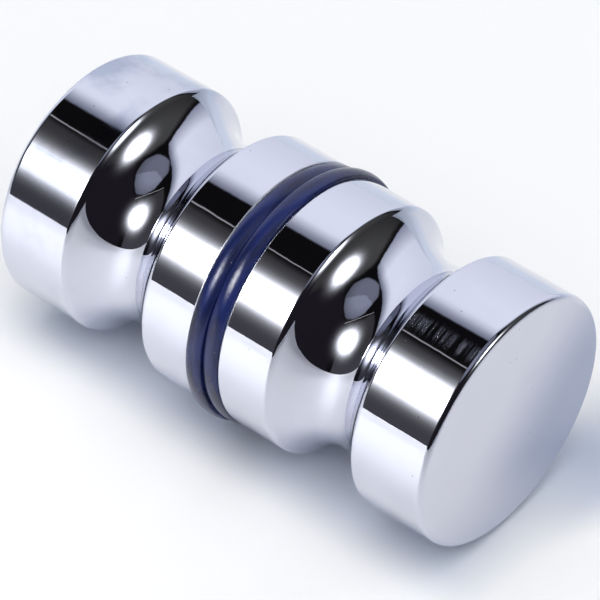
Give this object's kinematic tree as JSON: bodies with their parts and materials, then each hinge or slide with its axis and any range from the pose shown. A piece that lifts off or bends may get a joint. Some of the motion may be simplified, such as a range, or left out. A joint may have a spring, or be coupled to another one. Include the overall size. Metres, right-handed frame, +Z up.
{
  "type": "shower door knob pair",
  "caption": "Back-to-back shower door handle: round turned knobs with concave waists, clamped face to face through soft gaskets on a hidden stud.",
  "frame": {"origin": "centre of the handle on the knobs' common axis, where the gaskets meet, in the middle plane of the glass", "axes": "Y along the knobs' common axis, square to the glass: front knob towards -Y, back knob towards +Y; +Z up"},
  "size_m": [0.0334, 0.0644, 0.0334],
  "materials": {
    "knob_chrome": "mirror polished chrome plate",
    "gasket_navy": "glossy, slightly clear navy soft vinyl",
    "stud_steel": "plain machined steel"
  },
  "bodies": {
    "root": {"front_knob": "knob_chrome", "back_knob": "knob_chrome", "front_gasket": "gasket_navy", "back_gasket": "gasket_navy", "threaded_stud": "stud_steel"}
  },
  "joints": []
}
